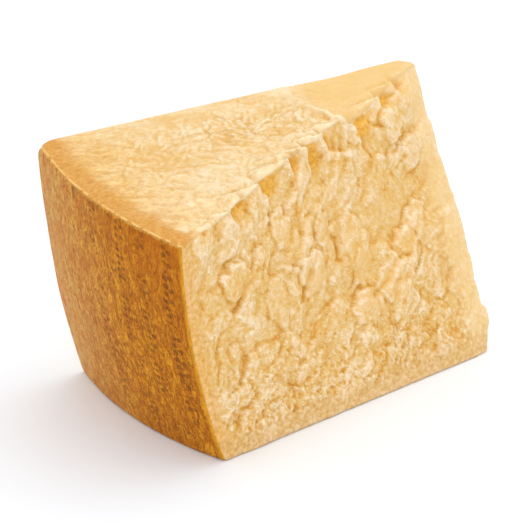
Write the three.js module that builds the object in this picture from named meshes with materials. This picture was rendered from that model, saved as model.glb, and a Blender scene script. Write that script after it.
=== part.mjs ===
// A broken wedge of hard cheese: one solid. It rests on the flat rind of the wheel.
// Millimetres, +Z up. X runs from the rind to the tip and Y from the near broken face to the far one.
import * as THREE from "three";

// The four upright edges of the wedge, each [x, y] at the base and at the top, before any relief.
const NEAR_RIND_EDGE = [[15.4, -53.2], [-2.0, -49.9]];
const FAR_RIND_EDGE = [[15.7, 46.8], [0.3, 50.6]];
const NEAR_TIP_EDGE = [[165.4, -51.6], [161.4, 0.0]];
const FAR_TIP_EDGE = [[162.2, -41.6], [157.8, 7.4]];

// Heights of those edges: the cut top climbs toward the tip.
const NEAR_RIND_HEIGHT = 97.3;
const FAR_RIND_HEIGHT = 108.2;
const TIP_HEIGHT = 120.0;

// The rind bows outward in plan, and it bulges between base and top like a barrel.
const BOW_BASE = 7.8;
const BOW_TOP = 7.5;
const BULGE_NEAR = 4.2;
const BULGE_FAR = 3.8;

// Nominal spans, used to turn places on the block into distances from its edges.
const SPAN_LENGTH = 160;
const SPAN_HEIGHT = 108;
const SPAN_WIDTH_RIND = 97;
const SPAN_WIDTH_TIP = 9;

// Edge roundings, and how far one face's relief reaches round an edge onto the next face.
const RIND_EDGE_ROUND = 1.8;
const FAR_CORNER_ROUND = 7;
const BROKEN_EDGE_ROUND = 1.2;
const BASE_EDGE_ROUND = 1.6;
const ROUND_SHARE = 0.3;
const RELIEF_REACH = 11;
// Below this height the relief stops moving points up or down, which keeps the base flat.
const FLAT_BASE_REACH = 6;

// Broken paste: slow waves under two sizes of overlapping shells.
// A shell is a tilted dome: its size across, through and along the slant, its depth, its lean and
// how sharply it ends at the next.
const WAVE_SIZE = 26;
const WAVE_DEPTH = 1.5;
const LARGE_SHELL = { size: [14, 15, 18], depth: 1.9, lean: [0.5, 0, 0.1], sharp: 16, seed: 5 };
const SMALL_SHELL = { size: [5.8, 6.5, 8.5], depth: 0.95, lean: [0.5, 0, 0.1], sharp: 12, seed: 8 };
const SHELL_SCATTER = 0.8;
const SHELL_UNEVEN = 1.0;
const SHELL_TILT = 1.4;
const SHELL_DOME = 1.0;
const SHELL_MEAN = 0.3;
// Low on a broken face the large shells get shallower and the small ones deeper: shares high and low.
const LOW_DOWN = { heights: [50, 15], large: [1, 0.6], small: [0.9, 1.05] };
// How far large shells push the line of a ledge along it, per unit of their height.
const LEDGE_PUSH = 2.0;
// Which waves each feature uses.
const WAVE_SEEDS = { paste: 21, band: 33, ledge: 55, topStep: 61, rind: 71, bite: 91, plate: 93 };
// The slant that the shells and ledges follow, as a cosine and sine, and the curls of the grain.
const SLANT = [0.64, 0.77];
const CURLS = [
  { size: 28, amount: 5, seed: 27 },
  { size: 9, amount: 3, seed: 3 },
  { size: 3.6, amount: 0.8, seed: 9 },
];

// Calm bands: dense paste beside the rind, along the base, down the tip and under the far rim.
// Each band ends between two distances from its edge, and has a share of the relief left in it.
const RIND_BAND = { ends: [3, 10], left: 0.15 };
const BASE_BAND = { ends: [3, 9], left: 0.2 };
const TIP_BAND = { ends: [3, 14], left: 0.25 };
const FAR_RIM_BAND = { ends: [3, 18], left: 0.08 };
// Under the near top ridge it is calm only toward the tip, which begins over these distances.
const NEAR_RIM_BAND = { ends: [2, 11], left: 0.3 };
const NEAR_RIM_FROM = [112, 128];
const BAND_WANDER = { size: 9, amount: 4 };

// Ledges across the near face: the path as [distance from rind, height], how high the ledge stands,
// how far it fades and where it begins.
const LEDGES = [
  {
    path: [[70, 25], [87, 38], [106, 43], [122, 53], [146, 62], [175, 60]],
    high: 1.4,
    run: 15,
    start: [82, 92],
  },
  {
    path: [[40, 40], [56, 62], [67, 77], [94, 95], [99, 105], [110, 118]],
    high: 1.3,
    run: 15,
    start: [52, 62],
  },
  {
    path: [[66, 80], [72, 97], [79, 118]],
    high: 1.2,
    run: 10,
    start: [66, 70],
  },
];

// How a ledge wanders off its path, where its step starts and ends, and how far off the path it is
// measured.
const LEDGE_WANDER = { size: 10, amount: 5 };
const LEDGE_STEP = [-1.6, 1.0];
const LEDGE_TURN = { fall: 0.7, wander: 1.5 };

// Large plates that stand out of the near face: the middle as [distance from rind, height], half the
// size each way, and how far the upper side toward the rind lifts.
const PLATES = [
  { at: [136.5, 63.5], half: [7.5, 6.5], high: 1.3 },
  { at: [126, 57], half: [6.5, 6], high: 1.3 },
  { at: [113, 44], half: [12.5, 9.5], high: 1.9 },
  { at: [95, 38.5], half: [9, 7.5], high: 1.6 },
  { at: [93.5, 68], half: [5.5, 11], high: 1.1 },
  { at: [96.5, 54.5], half: [6, 9], high: 1.2 },
  { at: [79, 75], half: [5, 8], high: 1.0 },
  { at: [68.5, 61.5], half: [8, 9.5], high: 1.7 },
  { at: [57, 83], half: [6, 8.5], high: 1.2 },
  { at: [46, 57], half: [5.5, 10], high: 1.1 },
  { at: [28, 72], half: [8.5, 8], high: 1.5 },
];
// Where a plate's edge starts and ends as a share of its size, its scallops and its wander, the
// least of the lift on its low side, and how much calmer the shells are on it.
const PLATE_EDGE = [0.88, 1.04];
const PLATE_SCALLOP = { count: 7, deep: 0.07 };
const PLATE_WANDER = { size: 4.5, amount: 0.24 };
const PLATE_LIFT = { least: 0.15, ends: [-1.8, 0.7] };
const PLATE_CALM = 0.3;

// The smooth pool between the two long ledges: [distance from rind, height], reach and depth.
const POOL_PLACE = [116, 70];
const POOL_REACH = [14, 12];
const POOL_CALM = 0.75;

// Bites out of the near top ridge: each drops sharply at a distance from the rind and then recovers
// over a run, which leaves the ridge serrated. Each fades over its fall down the near face.
const BITES = [
  { at: 32, run: 18, depth: 3.2, fall: 16 },
  { at: 52, run: 17, depth: 4.4, fall: 18 },
  { at: 70.5, run: 9, depth: 5.0, fall: 11 },
  { at: 81, run: 10, depth: 4.6, fall: 20 },
  { at: 92.5, run: 10, depth: 3.0, fall: 10 },
  { at: 111.5, run: 18, depth: 5.6, fall: 20 },
  { at: 133.5, run: 9, depth: 3.4, fall: 12 },
  { at: 145, run: 8, depth: 2.0, fall: 10 },
];
const BITE_SHARP = 2;
// They lean toward the tip as they go down, and a wander sets in over the first few millimetres.
const BITE_LEAN = 0.24;
const BITE_WANDER = { size: 7, amount: 3, from: [0, 8] };
// On the top they are shallower and run back toward the rind, like tiles.
const BITE_ON_TOP = { share: 0.5, reach: 7, back: 2 };

// The cut top: a lip along the near ridge, one step down toward the tip and a shallow hollow.
const LIP = { from: [38, 60], to: [100, 110], high: 2.2, reach: 7 };
const TOP_STEP = { at: [105, 108], drop: 3.4, recover: [112, 150], fadeAcross: [10, 38], fade: 0.9 };
const TOP_STEP_WANDER = { size: 12, amount: 2.5 };
const TOP_STEP_RIM = { at: 103.5, width: 2, high: 1.4 };
const TOP_HOLLOW = { at: [76, 8], reach: [18, 12], depth: 1.8, craggier: 2.2 };
const TOP_RIND_BAND = { ends: [8, 18], left: 0.15 };
const TOP_RIM_BAND = { ends: [4, 20], left: 0.1 };
const TOP_WAVE_DEPTH = 0.7;
const TOP_LARGE_DEPTH = 0.7;
const TOP_SMALL_DEPTH = 0.5;
// Toward the tip the top is smoother: this share of the relief is left beyond these distances.
const TOP_TIP_CALM = { ends: [104, 114], left: 0.35 };

// The tip end swells at mid height. Below a small jog it has a foot, which draws in toward the base.
const TIP_SWELL = { at: 55, reach: 30, out: 1.8 };
const TIP_FOOT = { top: [17, 20], spread: [-3, 15], out: [-3.0, 2.0] };
const TIP_REACH = 12;
const TIP_SIDE_SHARE = 0.6;
const TIP_CRAG_SHARE = 0.35;

// The rind is only a little wavy.
const RIND_WAVE_SIZE = 30;
const RIND_WAVE_DEPTH = 0.5;

// Facets along the length, up the height and across the width.
const STEPS_LONG = 52;
const STEPS_HIGH = 34;
const STEPS_WIDE = 24;
// Across the top the count halves at each of these shares of the length, as the wedge narrows.
const HALVE_AT = [0.5, 0.75, 0.9];

const PASTE_COLOUR = 0xe9c67e;

const clamp01 = (v) => Math.min(1, Math.max(0, v));
const mix = (from, to, share) => from + (to - from) * share;

/** Smooth rise from 0 to 1 between two values. */
function rise(v, low, high) {
  const t = clamp01((v - low) / (high - low));
  return t * t * (3 - 2 * t);
}

/** A repeatable fraction for a whole-number cell and a slot. */
function chance(cell, slot) {
  const v = Math.sin(cell * 12.9898 + slot * 78.233) * 43758.5453;
  return v - Math.floor(v);
}

const cellNumber = (x, y, z, seed) => x + 57 * y + 113 * z + seed * 1.37;

const shrink = (p, size) => p.map((v, i) => v / (Array.isArray(size) ? size[i] : size));

/** Gradient noise: a slope at each corner of a cell, eased together. About -1 to 1. */
function waves(p, seed) {
  const base = p.map(Math.floor);
  const inside = p.map((v, i) => v - base[i]);
  const ease = inside.map((f) => f * f * f * (f * (f * 6 - 15) + 10));
  let sum = 0;
  for (let corner = 0; corner < 8; corner++) {
    const at = [corner & 1, (corner >> 1) & 1, (corner >> 2) & 1];
    const cell = cellNumber(base[0] + at[0], base[1] + at[1], base[2] + at[2], seed);
    let slope = 0;
    let weight = 1;
    for (let i = 0; i < 3; i++) {
      slope += (chance(cell, i + 1) * 2 - 1) * (inside[i] - at[i]);
      weight *= at[i] ? ease[i] : 1 - ease[i];
    }
    sum += slope * weight;
  }
  return sum * 1.5;
}

/** Overlapping shells: a point follows the tilted dome round its nearest centre, eased into the next. */
function shells(p, { size, lean, sharp, seed }) {
  const at = shrink(p, size);
  const base = at.map(Math.floor);
  let sum = 0;
  let shares = 0;
  for (let i = -1; i <= 1; i++) {
    for (let j = -1; j <= 1; j++) {
      for (let k = -1; k <= 1; k++) {
        const corner = [base[0] + i, base[1] + j, base[2] + k];
        const cell = cellNumber(corner[0], corner[1], corner[2], seed);
        const gap = at.map((v, m) => v - corner[m] - 0.5 - SHELL_SCATTER * (chance(cell, m + 1) - 0.5));
        const slope = [
          lean[0] + SHELL_TILT * (chance(cell, 5) - 0.5),
          lean[1],
          lean[2] + SHELL_TILT * (chance(cell, 6) - 0.5),
        ];
        const away = gap.reduce((total, v) => total + v * v, 0);
        const tilt = gap.reduce((total, v, m) => total + v * slope[m], 0);
        const share = Math.exp(-sharp * away);
        sum += share * (SHELL_UNEVEN * (chance(cell, 4) - 0.5) - SHELL_DOME * away + tilt);
        shares += share;
      }
    }
  }
  return sum / shares + SHELL_MEAN;
}

/** Push a point about by waves of a given size, so that the shells get curled outlines. */
function curl(p, { size, amount, seed }) {
  return p.map((v, m) => v + amount * waves(p.map((u) => u / size + 7.7 * m), seed + 5 * m));
}

/** The grain of the paste at a point: turned to the slant of the ledges, then curled. */
function grainAt(p) {
  const [level, steep] = SLANT;
  const slanted = [level * p[2] - steep * p[0], p[1], level * p[0] + steep * p[2]];
  return CURLS.reduce(curl, slanted);
}

/** Waves and two sizes of shells at a point, each times its depth, and the push they give to ledges. */
function pasteRelief(p, waveDepth, largeDepth, smallDepth) {
  const grain = grainAt(p);
  const large = shells(grain, LARGE_SHELL);
  const small = shells(grain, SMALL_SHELL);
  const wave = waves(shrink(grain, WAVE_SIZE), WAVE_SEEDS.paste);
  return { height: waveDepth * wave + largeDepth * large + smallDepth * small, push: LEDGE_PUSH * large };
}

/** The same on a broken face, where the depths change low down. */
function brokenRelief(p) {
  const low = rise(-p[2], -LOW_DOWN.heights[0], -LOW_DOWN.heights[1]);
  const large = LARGE_SHELL.depth * mix(...LOW_DOWN.large, low);
  const small = SMALL_SHELL.depth * mix(...LOW_DOWN.small, low);
  return pasteRelief(p, WAVE_DEPTH, large, small);
}

/** Height of a path of [x, z] corners at x, level beyond its ends. */
function pathHeight(path, x) {
  if (x <= path[0][0]) return path[0][1];
  for (let i = 1; i < path.length; i++) {
    const [x0, z0] = path[i - 1];
    const [x1, z1] = path[i];
    if (x <= x1) return mix(z0, z1, (x - x0) / (x1 - x0));
  }
  return path[path.length - 1][1];
}

const edgeAt = (edge, up) => [mix(edge[0][0], edge[1][0], up), mix(edge[0][1], edge[1][1], up)];

/** A point of the smooth wedge: along from rind to tip, across from near to far, up from base to top. */
function block(along, across, up) {
  const nearRind = edgeAt(NEAR_RIND_EDGE, up);
  const farRind = edgeAt(FAR_RIND_EDGE, up);
  const nearTip = edgeAt(NEAR_TIP_EDGE, up);
  const farTip = edgeAt(FAR_TIP_EDGE, up);
  const bow = mix(BOW_BASE, BOW_TOP, up) * 4 * across * (1 - across);
  const bulge = mix(BULGE_NEAR, BULGE_FAR, across) * 4 * up * (1 - up);
  const out = (bow + bulge) * (1 - along) ** 2;
  const x = mix(mix(nearRind[0], farRind[0], across), mix(nearTip[0], farTip[0], across), along) - out;
  const y = mix(mix(nearRind[1], farRind[1], across), mix(nearTip[1], farTip[1], across), along);
  const height = mix(mix(NEAR_RIND_HEIGHT, FAR_RIND_HEIGHT, across), TIP_HEIGHT, along);
  return [x, y, height * up];
}

// Each face of the block: which share is fixed, at what value, and the turn that makes its normal face out.
const FACES = {
  near: { fixed: 1, value: 0, turn: 1 },
  far: { fixed: 1, value: 1, turn: -1 },
  rind: { fixed: 0, value: 0, turn: -1 },
  tip: { fixed: 0, value: 1, turn: 1 },
  top: { fixed: 2, value: 1, turn: 1 },
};

/** Outward direction of a face of the smooth wedge at a place. */
function outward(face, place) {
  const [first, second] = [0, 1, 2].filter((i) => i !== face.fixed);
  const slope = (share) => {
    const low = [...place];
    const high = [...place];
    low[face.fixed] = face.value;
    high[face.fixed] = face.value;
    low[share] = Math.max(0, place[share] - 0.02);
    high[share] = Math.min(1, place[share] + 0.02);
    return new THREE.Vector3(...block(...high)).sub(new THREE.Vector3(...block(...low)));
  };
  return slope(first).cross(slope(second)).normalize().multiplyScalar(face.turn);
}

/** The share of the relief left at a distance from the edge that a calm band follows. */
const bandShare = (band, distance) => mix(band.left, 1, rise(distance, ...band.ends));

/** How craggy the paste is at a place of a broken face, from 0 to 1, with bounds that wander. */
function craggy(p, fromRind, fromTip) {
  const wander = BAND_WANDER.amount * waves(shrink(p, BAND_WANDER.size), WAVE_SEEDS.band);
  const rind = bandShare(RIND_BAND, fromRind + wander);
  const base = bandShare(BASE_BAND, p[2] + wander);
  const tip = bandShare(TIP_BAND, fromTip + wander);
  return rind * base * tip;
}

/** How far the tip end stands out at a height: a swell at mid height, and a foot below a jog. */
function tipSwell(height) {
  const swell = TIP_SWELL.out * Math.exp(-(((height - TIP_SWELL.at) / TIP_SWELL.reach) ** 2));
  const foot = mix(...TIP_FOOT.out, rise(height, ...TIP_FOOT.spread));
  return swell + foot * (1 - rise(height, ...TIP_FOOT.top));
}

/** How deep the bites cut at a distance from the rind, this far below the ridge. */
function biteDepth(fromRind, below) {
  let sum = 0;
  for (const { at, run, depth, fall } of BITES) {
    const bite = rise(fromRind, at - BITE_SHARP, at) * (1 - rise(fromRind, at, at + run));
    sum += depth * bite * (1 - rise(below, 0, fall));
  }
  return sum;
}

/** The bites on the near face, which lean and wander as they go down. */
function nearBites(along, up) {
  const fromTop = (1 - up) * SPAN_HEIGHT;
  const { size, amount, from } = BITE_WANDER;
  const wave = waves(shrink(block(along, 0, up), size), WAVE_SEEDS.bite);
  const fromRind = along * SPAN_LENGTH - BITE_LEAN * fromTop + amount * wave * rise(fromTop, ...from);
  return biteDepth(fromRind, fromTop);
}

/** Lift of the large plates at a point of the near face, and how much of a plate is there. */
function platesAt(p, fromRind) {
  const wander = PLATE_WANDER.amount * waves(shrink(p, PLATE_WANDER.size), WAVE_SEEDS.plate);
  let lift = 0;
  let cover = 0;
  for (const { at, half, high } of PLATES) {
    const u = (fromRind - at[0]) / half[0];
    const v = (p[2] - at[1]) / half[1];
    const scallop = PLATE_SCALLOP.deep * Math.cos(PLATE_SCALLOP.count * Math.atan2(v, u) + at[0]);
    const inside = 1 - rise(Math.hypot(u, v) * (1 + scallop) + wander, ...PLATE_EDGE);
    lift = Math.max(lift, high * inside * mix(PLATE_LIFT.least, 1, rise(v - u, ...PLATE_LIFT.ends)));
    cover = Math.max(cover, inside);
  }
  return { lift, cover };
}

/** Relief of the near broken face: shells, ledges, plates, a smooth pool and bites at the ridge. */
function nearRelief(along, up) {
  const p = block(along, 0, up);
  const fromRind = along * SPAN_LENGTH;
  const { height, push } = brokenRelief(p);
  const wobble = LEDGE_WANDER.amount * waves(shrink(p, LEDGE_WANDER.size), WAVE_SEEDS.ledge) + push;
  const { lift, cover } = platesAt(p, fromRind);
  let sum = height * (1 - PLATE_CALM * cover) + lift;
  for (const ledge of LEDGES) {
    const under = pathHeight(ledge.path, fromRind + wobble) - p[2] - LEDGE_TURN.wander * wobble;
    const below = LEDGE_TURN.fall * under;
    const step = rise(below, ...LEDGE_STEP) * rise(fromRind, ...ledge.start);
    sum += ledge.high * step * Math.exp(-((Math.max(below, 0) / ledge.run) ** 2));
  }
  const dx = (fromRind - POOL_PLACE[0]) / POOL_REACH[0];
  const dz = (p[2] - POOL_PLACE[1]) / POOL_REACH[1];
  sum *= 1 - POOL_CALM * Math.exp(-dx * dx - dz * dz);
  const fromTop = (1 - up) * SPAN_HEIGHT;
  sum *= mix(1, bandShare(NEAR_RIM_BAND, fromTop), rise(fromRind, ...NEAR_RIM_FROM));
  sum *= craggy(p, fromRind, SPAN_LENGTH - fromRind);
  sum += TIP_SIDE_SHARE * tipSwell(p[2]) * (1 - rise(SPAN_LENGTH - fromRind, 0, TIP_REACH));
  return sum - nearBites(along, up);
}

/** Relief of the far broken face. */
function farRelief(along, up) {
  const p = block(along, 1, up);
  const fromRind = along * SPAN_LENGTH;
  const rim = bandShare(FAR_RIM_BAND, (1 - up) * SPAN_HEIGHT);
  return brokenRelief(p).height * rim * craggy(p, fromRind, SPAN_LENGTH - fromRind);
}

/** Relief of the narrow broken tip. */
function tipRelief(across, up) {
  const p = block(1, across, up);
  return brokenRelief(p).height * TIP_CRAG_SHARE + tipSwell(p[2]);
}

/** Relief of the cut top: low shells, the lip along the ridge, the step down and the hollow. */
function topRelief(along, across) {
  const p = block(along, across, 1);
  const fromRind = along * SPAN_LENGTH;
  const fromNear = across * mix(SPAN_WIDTH_RIND, SPAN_WIDTH_TIP, along);
  const fromFar = (1 - across) * mix(SPAN_WIDTH_RIND, SPAN_WIDTH_TIP, along);
  const calm = bandShare(TOP_RIND_BAND, fromRind) * bandShare(TOP_RIM_BAND, fromFar);
  const { height, push } = pasteRelief(p, TOP_WAVE_DEPTH, TOP_LARGE_DEPTH, TOP_SMALL_DEPTH);
  const lip = LIP.high * rise(fromRind, ...LIP.from) * (1 - rise(fromRind, ...LIP.to));
  const wander = TOP_STEP_WANDER.amount * waves(shrink(p, TOP_STEP_WANDER.size), WAVE_SEEDS.topStep);
  const stepAt = fromRind + wander + push;
  const drop = TOP_STEP.drop * (1 - TOP_STEP.fade * rise(fromNear, ...TOP_STEP.fadeAcross));
  const step = drop * rise(stepAt, ...TOP_STEP.at) * (1 - rise(fromRind, ...TOP_STEP.recover));
  const offRim = (stepAt - TOP_STEP_RIM.at) / TOP_STEP_RIM.width;
  const rim = TOP_STEP_RIM.high * Math.exp(-offRim * offRim) * drop / TOP_STEP.drop;
  const dx = (p[0] - TOP_HOLLOW.at[0]) / TOP_HOLLOW.reach[0];
  const dy = (p[1] - TOP_HOLLOW.at[1]) / TOP_HOLLOW.reach[1];
  const hollow = Math.exp(-dx * dx - dy * dy);
  const tipward = mix(1, TOP_TIP_CALM.left, rise(fromRind, ...TOP_TIP_CALM.ends));
  const flaky = height * calm * tipward * (1 + TOP_HOLLOW.craggier * hollow);
  const { share, reach, back } = BITE_ON_TOP;
  const bite = share * biteDepth(fromRind + back * fromNear, 0) * Math.exp(-((fromNear / reach) ** 2));
  return flaky + lip * Math.exp(-fromNear / LIP.reach) + rim - step - TOP_HOLLOW.depth * hollow - bite;
}

/** Relief of the rind: slow waves only. */
function rindRelief(across, up) {
  return RIND_WAVE_DEPTH * waves(shrink(block(0, across, up), RIND_WAVE_SIZE), WAVE_SEEDS.rind);
}

/** How far an edge between two faces is rounded at a place. */
function edgeRounding(gaps, up) {
  const soft = (gap, round) => Math.max(0, 1 - gap / round) ** 2;
  const pair = (one, two, round) => ROUND_SHARE * round * soft(one, round) * soft(two, round);
  return {
    nearTop: pair(gaps.near, gaps.top, BROKEN_EDGE_ROUND),
    farTop: pair(gaps.far, gaps.top, BROKEN_EDGE_ROUND),
    rindTop: pair(gaps.rind, gaps.top, RIND_EDGE_ROUND),
    rindNear: pair(gaps.rind, gaps.near, RIND_EDGE_ROUND),
    rindFar: pair(gaps.rind, gaps.far, RIND_EDGE_ROUND),
    farCorner: pair(gaps.rind, gaps.far, FAR_CORNER_ROUND) * soft(gaps.top, FAR_CORNER_ROUND),
    base: ROUND_SHARE * BASE_EDGE_ROUND * soft(up * SPAN_HEIGHT, BASE_EDGE_ROUND),
  };
}

/** The finished surface at a place: the smooth point, moved by the relief of the faces near it. */
function surfacePoint(along, across, up) {
  const width = mix(SPAN_WIDTH_RIND, SPAN_WIDTH_TIP, along);
  const gaps = {
    near: across * width,
    far: (1 - across) * width,
    rind: along * SPAN_LENGTH,
    tip: (1 - along) * SPAN_LENGTH,
    top: (1 - up) * SPAN_HEIGHT,
  };
  const place = [along, across, up];
  const round = edgeRounding(gaps, up);
  const inset = {
    near: round.nearTop + round.rindNear + round.base,
    far: round.farTop + round.rindFar + round.farCorner + round.base,
    rind: round.rindTop + round.rindNear + round.rindFar + round.farCorner / 2 + round.base,
    tip: round.base,
    top: round.nearTop + round.farTop + round.rindTop + round.farCorner,
  };
  const relief = {
    near: () => nearRelief(along, up),
    far: () => farRelief(along, up),
    rind: () => rindRelief(across, up),
    tip: () => tipRelief(across, up),
    top: () => topRelief(along, across),
  };
  const move = new THREE.Vector3();
  for (const name of Object.keys(FACES)) {
    const share = 1 - rise(gaps[name], 0, Math.min(RELIEF_REACH, width));
    if (share === 0) continue;
    move.addScaledVector(outward(FACES[name], place), share * relief[name]() - inset[name]);
  }
  const smooth = block(along, across, up);
  const lift = move.z * rise(up * SPAN_HEIGHT, 0, FLAT_BASE_REACH);
  return [smooth[0] + move.x, smooth[1] + move.y, Math.max(0, smooth[2] + lift)];
}

/** The wedge as one closed skin of facets over the six faces of the block. */
function wedgeGeometry() {
  const points = [];
  const facets = [];
  const known = new Map();
  const vertex = (along, across, up) => {
    const key = [along, across, up].map((v) => v.toFixed(6)).join(" ");
    if (!known.has(key)) {
      known.set(key, points.length);
      points.push(surfacePoint(along, across, up));
    }
    return known.get(key);
  };
  const quad = (p, q, r, s) => facets.push([p, q, r], [p, r, s]);
  const halvings = (column) => HALVE_AT.filter((share) => column / STEPS_LONG >= share).length;
  const wideAt = (column) => STEPS_WIDE / 2 ** halvings(column);
  const longs = Array.from({ length: STEPS_LONG + 1 }, (_, i) => i / STEPS_LONG);
  const highs = Array.from({ length: STEPS_HIGH + 1 }, (_, i) => i / STEPS_HIGH);

  for (let i = 0; i < STEPS_LONG; i++) {
    for (let k = 0; k < STEPS_HIGH; k++) {
      const [a0, a1, c0, c1] = [longs[i], longs[i + 1], highs[k], highs[k + 1]];
      quad(vertex(a0, 0, c0), vertex(a1, 0, c0), vertex(a1, 0, c1), vertex(a0, 0, c1));
      quad(vertex(a0, 1, c0), vertex(a0, 1, c1), vertex(a1, 1, c1), vertex(a1, 1, c0));
    }
  }
  for (const [along, wide, flip] of [[0, STEPS_WIDE, true], [1, wideAt(STEPS_LONG), false]]) {
    for (let j = 0; j < wide; j++) {
      for (let k = 0; k < STEPS_HIGH; k++) {
        const corners = [
          vertex(along, j / wide, highs[k]),
          vertex(along, (j + 1) / wide, highs[k]),
          vertex(along, (j + 1) / wide, highs[k + 1]),
          vertex(along, j / wide, highs[k + 1]),
        ];
        quad(...(flip ? corners.reverse() : corners));
      }
    }
  }
  for (let i = 0; i < STEPS_LONG; i++) {
    const fine = wideAt(i);
    const coarse = wideAt(i + 1);
    for (let j = 0; j < coarse; j++) {
      const right0 = vertex(longs[i + 1], j / coarse, 1);
      const right1 = vertex(longs[i + 1], (j + 1) / coarse, 1);
      if (fine === coarse) {
        quad(vertex(longs[i], j / fine, 1), right0, right1, vertex(longs[i], (j + 1) / fine, 1));
        continue;
      }
      const left = [0, 1, 2].map((m) => vertex(longs[i], (2 * j + m) / fine, 1));
      facets.push([left[0], right0, left[1]], [left[1], right0, right1], [left[1], right1, left[2]]);
    }
  }
  const tipWide = wideAt(STEPS_LONG);
  const ring = [
    ...longs.map((a) => vertex(a, 0, 0)),
    ...Array.from({ length: tipWide }, (_, j) => vertex(1, (j + 1) / tipWide, 0)),
    ...longs.slice(0, -1).reverse().map((a) => vertex(a, 1, 0)),
    ...Array.from({ length: STEPS_WIDE - 1 }, (_, j) => vertex(0, 1 - (j + 1) / STEPS_WIDE, 0)),
  ];
  const outline = ring.map((index) => new THREE.Vector2(points[index][0], points[index][1]));
  for (const [p, q, r] of THREE.ShapeUtils.triangulateShape(outline, [])) {
    facets.push([ring[p], ring[r], ring[q]]);
  }

  const geometry = new THREE.BufferGeometry();
  geometry.setAttribute("position", new THREE.Float32BufferAttribute(points.flat(), 3));
  geometry.setIndex(facets.flat());
  return geometry;
}

/** Put the middle of the part's box over the origin, with its base at height zero. */
function settle(geometry) {
  geometry.computeBoundingBox();
  const middle = geometry.boundingBox.getCenter(new THREE.Vector3());
  geometry.translate(-middle.x, -middle.y, -geometry.boundingBox.min.z);
  geometry.computeVertexNormals();
  return geometry;
}

const wedge = new THREE.Mesh(
  settle(wedgeGeometry()),
  new THREE.MeshStandardMaterial({ color: PASTE_COLOUR, roughness: 0.6, metalness: 0 }),
);
wedge.name = "cheese_wedge";

const part = new THREE.Group();
part.name = "hard_cheese_wedge";
part.add(wedge);

export default part;
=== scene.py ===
import bpy
import numpy as np
from mathutils import Matrix, Vector


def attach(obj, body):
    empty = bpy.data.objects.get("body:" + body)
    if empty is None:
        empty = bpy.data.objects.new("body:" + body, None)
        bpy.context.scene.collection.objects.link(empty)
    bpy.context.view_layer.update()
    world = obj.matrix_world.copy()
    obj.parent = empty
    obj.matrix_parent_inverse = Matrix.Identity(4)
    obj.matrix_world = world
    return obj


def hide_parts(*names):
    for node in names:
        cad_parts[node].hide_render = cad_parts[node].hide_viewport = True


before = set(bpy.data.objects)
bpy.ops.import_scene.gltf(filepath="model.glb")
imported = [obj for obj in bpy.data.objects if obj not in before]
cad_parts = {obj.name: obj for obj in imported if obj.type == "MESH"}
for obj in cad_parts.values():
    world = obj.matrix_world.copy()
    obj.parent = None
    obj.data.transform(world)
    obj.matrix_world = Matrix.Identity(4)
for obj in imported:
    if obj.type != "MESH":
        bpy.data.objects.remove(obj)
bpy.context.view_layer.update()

MM = 0.001

# The wedge in millimetres. X runs from the rind to the tip, Y from the near broken face to the far one.
# The four upright edges, each (x, y) at the base and at the top.
NEAR_RIND_EDGE = ((15.4, -53.2), (-2.0, -49.9))
FAR_RIND_EDGE = ((15.7, 46.8), (0.3, 50.6))
NEAR_TIP_EDGE = ((165.4, -51.6), (161.4, 0.0))
FAR_TIP_EDGE = ((162.2, -41.6), (157.8, 7.4))
# Where the middle of the wedge's box lies in these measures.
MIDDLE = (79.52, -1.68)

# Heights of those edges: the cut top climbs toward the tip.
NEAR_RIND_HEIGHT = 97.3
FAR_RIND_HEIGHT = 108.2
TIP_HEIGHT = 120.0

# The rind bows outward in plan, at the base and at the top. It also bulges like a barrel, at the near
# edge and at the far one.
BOW = (7.8, 7.5)
BULGE = (4.2, 3.8)

# Nominal spans, used to turn places on the block into distances from its edges.
SPAN_LENGTH = 160
SPAN_HEIGHT = 108
SPAN_WIDTH_RIND = 97
SPAN_WIDTH_TIP = 9

# Edge roundings, and how far one face's relief reaches round an edge onto the next face.
RIND_EDGE_ROUND = 1.8
FAR_CORNER_ROUND = 7
BROKEN_EDGE_ROUND = 1.2
BASE_EDGE_ROUND = 1.6
ROUND_SHARE = 0.3
RELIEF_REACH = 11
# The relief's moves up and down set in over this height, which keeps the base flat.
FLAT_BASE_REACH = 6

# Broken paste: slow waves, then shells from the largest down to single grains. Each row of shells is a
# size across, through and along the slant, a depth, a lean, how sharply one ends at the next, a seed.
WAVE_SIZE = 26
WAVE_DEPTH = 1.5
SHELLS = (
    ((14, 15, 18), 1.9, (0.5, 0, 0.1), 16, 5),
    ((5.8, 6.5, 8.5), 0.95, (0.5, 0, 0.1), 12, 8),
    ((3, 3.2, 4), 0.3, (0.3, 0, 0), 6, 12),
    ((1.4, 1.4, 1.4), 0.25, (0, 0, 0), 6, 15),
)
SHELL_SCATTER = 0.8
SHELL_UNEVEN = 1.0
SHELL_TILT = 1.4
SHELL_DOME = 1.0
SHELL_MEAN = 0.3
# Low on a broken face the flakes are smaller and the grains deeper: the heights between which that
# changes, and the share of each depth above and below them, for the waves and each row of shells.
LOW_DOWN = (15, 50)
DEPTH_SHARES = ((1, 1), (1, 0.6), (0.9, 1.05), (0.6, 1.7), (0.8, 2.4))
# How far the largest shells push the line of a ledge along it, per unit of their height.
LEDGE_PUSH = 2.0
# Which waves each feature uses.
WAVE_SEEDS = {"paste": 21, "band": 33, "ledge": 55, "step": 61, "rind": 71, "bite": 91, "plate": 93}
# The slant that the shells and ledges follow, as a cosine and sine, and the curls of the grain, each
# a size, an amount and a seed.
SLANT = (0.64, 0.77)
CURLS = ((28, 5, 27), (9, 3, 3), (3.6, 0.8, 9))

# Where the paste is calm: the distances over which its relief sets in, and the share left before that.
RIND_BAND = ((3, 10), 0.15)
BASE_BAND = ((3, 9), 0.2)
TIP_BAND = ((3, 14), 0.25)
FAR_RIM_BAND = ((3, 18), 0.08)
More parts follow.
